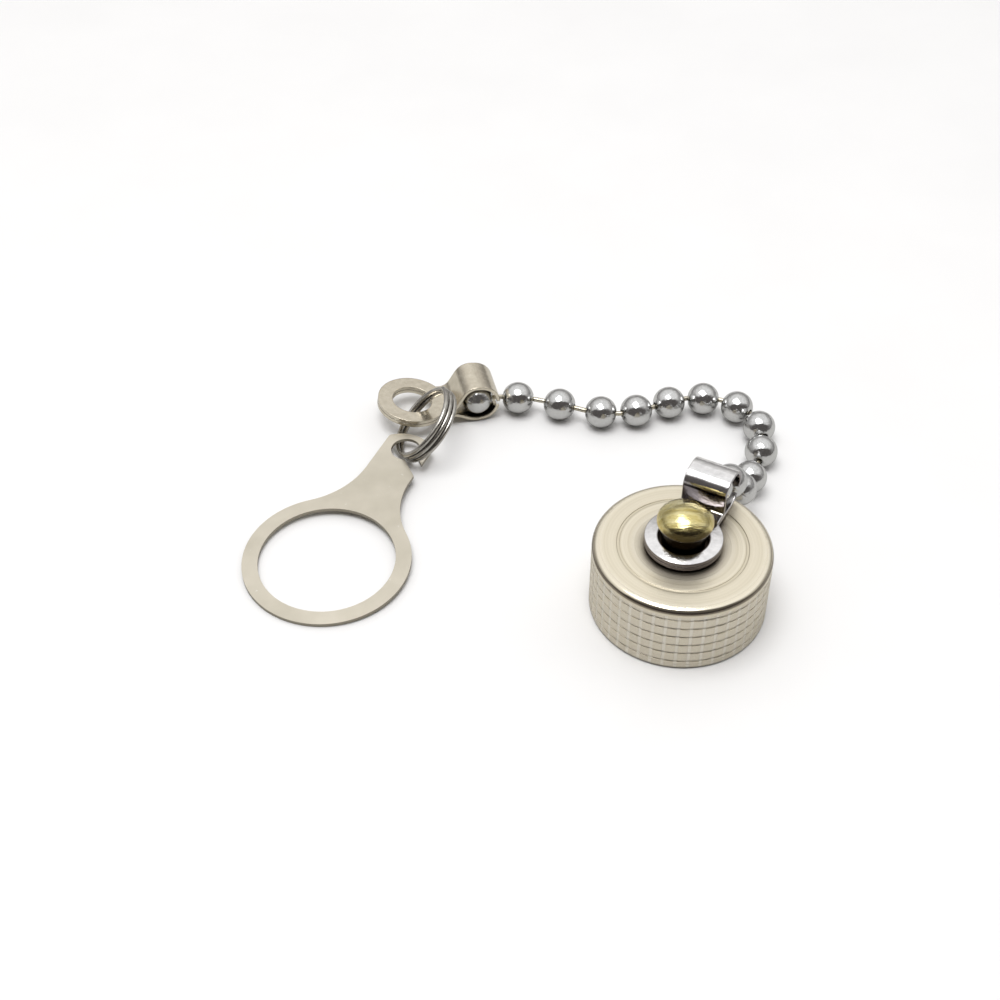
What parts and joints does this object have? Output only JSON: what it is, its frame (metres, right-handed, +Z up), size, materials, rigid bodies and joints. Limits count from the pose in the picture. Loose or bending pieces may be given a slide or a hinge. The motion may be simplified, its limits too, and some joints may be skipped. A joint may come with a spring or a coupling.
{
  "type": "retained screw cap",
  "caption": "Small knurled screw cap held captive by a ball chain, with folded couplings, a split ring and a flat ring tag that slips over the neck.",
  "frame": {"origin": "on the cap's axis, in the plane of its open mouth", "axes": "+Z up along the cap's axis, out through its closed face; the chain lies round behind it in +Y and the ring tag lies to -X"},
  "size_m": [0.0513, 0.0372, 0.0114],
  "materials": {
    "cap_nickel": "satin nickel plate with fine turning marks",
    "rivet_brass": "polished",
    "gasket_rubber": "matt",
    "bright_nickel": "bright plate",
    "soft_nickel": "satin nickel plate",
    "bead_nickel": "bright plate with fine scuffs",
    "pin_wire": "drawn wire",
    "ring_wire": "hard drawn wire",
    "tag_sheet": "satin sheet with stamped edges"
  },
  "bodies": {
    "cap": {"cap_shell": "cap_nickel", "sealing_gasket": "gasket_rubber", "cap_rivet": "rivet_brass"},
    "cap_coupling": {"cap_end_coupling": "bright_nickel"},
    "ring_coupling": {"ring_end_coupling": "soft_nickel"},
    "split_ring": {"split_ring": "ring_wire"},
    "ring_tag": {"ring_tag": "tag_sheet"},
    "bead_01": {"chain_bead_01": "bead_nickel"},
    "bead_02": {"chain_bead_02": "bead_nickel"},
    "bead_03": {"chain_bead_03": "bead_nickel"},
    "bead_04": {"chain_bead_04": "bead_nickel"},
    "bead_05": {"chain_bead_05": "bead_nickel"},
    "bead_06": {"chain_bead_06": "bead_nickel"},
    "bead_07": {"chain_bead_07": "bead_nickel"},
    "bead_08": {"chain_bead_08": "bead_nickel"},
    "bead_09": {"chain_bead_09": "bead_nickel"},
    "bead_10": {"chain_bead_10": "bead_nickel"},
    "bead_11": {"chain_bead_11": "bead_nickel"},
    "bead_12": {"chain_bead_12": "bead_nickel"},
    "bead_13": {"chain_bead_13": "bead_nickel"},
    "bead_14": {"chain_bead_14": "bead_nickel"},
    "pin_01": {"chain_pin_01": "pin_wire"},
    "pin_02": {"chain_pin_02": "pin_wire"},
    "pin_03": {"chain_pin_03": "pin_wire"},
    "pin_04": {"chain_pin_04": "pin_wire"},
    "pin_05": {"chain_pin_05": "pin_wire"},
    "pin_06": {"chain_pin_06": "pin_wire"},
    "pin_07": {"chain_pin_07": "pin_wire"},
    "pin_08": {"chain_pin_08": "pin_wire"},
    "pin_09": {"chain_pin_09": "pin_wire"},
    "pin_10": {"chain_pin_10": "pin_wire"},
    "pin_11": {"chain_pin_11": "pin_wire"},
    "pin_12": {"chain_pin_12": "pin_wire"},
    "pin_13": {"chain_pin_13": "pin_wire"}
  },
  "joints": [
    {"name": "coupling_swivel", "type": "hinge", "parent": "cap", "child": "cap_coupling", "pos_m": [0, 0, 0.008], "axis": [0, 0, 1], "continuous": true},
    {"name": "tag_swing", "type": "hinge", "parent": "split_ring", "child": "ring_tag", "pos_m": [-0.02531, 0.01852, 0.00109], "axis": [-0.4213, 0.7879, -0.4491], "range_deg": [-56, 4]},
    {"name": "split_ring_swing", "type": "hinge", "parent": "ring_coupling", "child": "split_ring", "pos_m": [-0.02453, 0.02394, 0.002], "axis": [0.6002, 0.4548, 0.6579], "range_deg": [-82, 35]},
    {"name": "ring_coupling_swing", "type": "hinge", "parent": "bead_14", "child": "ring_coupling", "pos_m": [-0.0184, 0.02587, 0.00212], "axis": [0.1608, 0.0371, 0.9863], "range_deg": [-20, 20]},
    {"name": "bead_01_swing", "type": "hinge", "parent": "cap_coupling", "child": "bead_01", "pos_m": [0.00311, 0.00532, 0.00938], "axis": [-0.2582, -0.496, -0.829], "range_deg": [-14, 14]},
    {"name": "pin_01_turn", "type": "hinge", "parent": "bead_01", "child": "pin_01", "pos_m": [0.00379, 0.00647, 0.0087], "axis": [-0.2291, -0.3915, -0.8912], "range_deg": [-14, 20]},
    {"name": "bead_02_nod", "type": "hinge", "parent": "pin_01", "child": "bead_02", "pos_m": [0.00439, 0.0075, 0.00809], "axis": [0.8631, -0.5051, 0], "range_deg": [-4, 18]},
    {"name": "pin_02_turn", "type": "hinge", "parent": "bead_02", "child": "pin_02", "pos_m": [0.00557, 0.00931, 0.00601], "axis": [0.3796, 0.5818, 0.7193], "range_deg": [-14.5, 19.5]},
    {"name": "bead_03_nod", "type": "hinge", "parent": "pin_02", "child": "bead_03", "pos_m": [0.00599, 0.00985, 0.00478], "axis": [-0.7855, 0.6189, 0], "range_deg": [-4, 20]},
    {"name": "pin_03_turn", "type": "hinge", "parent": "bead_03", "child": "pin_03", "pos_m": [0.00699, 0.01183, 0.00278], "axis": [-0.3023, -0.5976, -0.7427], "range_deg": [-8.5, 20]},
    {"name": "bead_04_nod", "type": "hinge", "parent": "pin_03", "child": "bead_04", "pos_m": [0.00745, 0.01304, 0.00224], "axis": [0.9345, -0.3561, 0], "range_deg": [-20, 13]},
    {"name": "pin_04_turn", "type": "hinge", "parent": "bead_04", "child": "pin_04", "pos_m": [0.00857, 0.01575, 0.00161], "axis": [0.0801, 0.194, 0.9777], "range_deg": [-20, 23]},
    {"name": "bead_05_nod", "type": "hinge", "parent": "pin_04", "child": "bead_05", "pos_m": [0.00913, 0.017, 0.00157], "axis": [-0.9143, 0.405, 0], "range_deg": [-20, 20]},
    {"name": "pin_05_turn", "type": "hinge", "parent": "bead_05", "child": "pin_05", "pos_m": [0.00996, 0.01989, 0.0016], "axis": [0.0023, 0.008, -1], "range_deg": [-19, 28]},
    {"name": "bead_06_nod", "type": "hinge", "parent": "pin_05", "child": "bead_06", "pos_m": [0.01005, 0.02053, 0.00162], "axis": [0.9896, -0.1435, 0], "range_deg": [-15.5, 19]},
    {"name": "pin_06_turn", "type": "hinge", "parent": "bead_06", "child": "pin_06", "pos_m": [0.00939, 0.02345, 0.00166], "axis": [0.0026, -0.0115, 0.9999], "range_deg": [-28, 5.5]},
    {"name": "bead_07_nod", "type": "hinge", "parent": "pin_06", "child": "bead_07", "pos_m": [0.009, 0.02404, 0.00164], "axis": [-0.8325, -0.554, 0], "range_deg": [-20, 20]},
    {"name": "pin_07_turn", "type": "hinge", "parent": "bead_07", "child": "pin_07", "pos_m": [0.00667, 0.02594, 0.00162], "axis": [0.0064, -0.0053, -1], "range_deg": [-9.5, 28]},
    {"name": "bead_08_nod", "type": "hinge", "parent": "pin_07", "child": "bead_08", "pos_m": [0.00604, 0.0262, 0.00162], "axis": [0.3745, 0.9272, 0], "range_deg": [-20, 20]},
    {"name": "pin_08_turn", "type": "hinge", "parent": "bead_08", "child": "pin_08", "pos_m": [0.00304, 0.02639, 0.00163], "axis": [0.0035, -0.0002, 1], "range_deg": [-28, 8.5]},
    {"name": "bead_09_nod", "type": "hinge", "parent": "pin_08", "child": "bead_09", "pos_m": [0.00242, 0.02623, 0.00163], "axis": [0.252, -0.9677, 0], "range_deg": [-20, 20]},
    {"name": "pin_09_turn", "type": "hinge", "parent": "bead_09", "child": "pin_09", "pos_m": [-0.00038, 0.02514, 0.00163], "axis": [0.0013, 0.0005, -1], "range_deg": [-20, 28]},
    {"name": "bead_10_nod", "type": "hinge", "parent": "pin_09", "child": "bead_10", "pos_m": [-0.00092, 0.02486, 0.00163], "axis": [-0.4659, 0.8848, 0], "range_deg": [-20, 20]},
    {"name": "pin_10_turn", "type": "hinge", "parent": "bead_10", "child": "pin_10", "pos_m": [-0.0038, 0.02404, 0.00163], "axis": [0.0007, 0.0002, 1], "range_deg": [-15, 28]},
    {"name": "bead_11_nod", "type": "hinge", "parent": "pin_10", "child": "bead_11", "pos_m": [-0.00443, 0.02399, 0.00163], "axis": [0.0699, -0.9976, 0], "range_deg": [-20, 20]},
    {"name": "pin_11_turn", "type": "hinge", "parent": "bead_11", "child": "pin_11", "pos_m": [-0.0074, 0.02445, 0.00163], "axis": [-0.0001, 0, -1], "range_deg": [-28, 11]},
    {"name": "bead_12_nod", "type": "hinge", "parent": "pin_11", "child": "bead_12", "pos_m": [-0.00863, 0.02493, 0.00163], "axis": [0.3662, 0.9305, 0], "range_deg": [-20, 20]},
    {"name": "pin_12_turn", "type": "hinge", "parent": "bead_12", "child": "pin_12", "pos_m": [-0.01146, 0.02592, 0.0016], "axis": [-0.0077, 0.0027, 1], "range_deg": [-26, 21.5]},
    {"name": "bead_13_nod", "type": "hinge", "parent": "pin_12", "child": "bead_13", "pos_m": [-0.01273, 0.02631, 0.00159], "axis": [-0.2938, -0.9559, 0], "range_deg": [-15, 20]},
    {"name": "pin_13_turn", "type": "hinge", "parent": "bead_13", "child": "pin_13", "pos_m": [-0.01572, 0.02645, 0.00177], "axis": [-0.0596, 0.0026, -0.9982], "range_deg": [-9, 28]},
    {"name": "bead_14_nod", "type": "hinge", "parent": "pin_13", "child": "bead_14", "pos_m": [-0.01695, 0.02618, 0.00193], "axis": [-0.2103, 0.9776, 0], "range_deg": [-20, 20]}
  ]
}
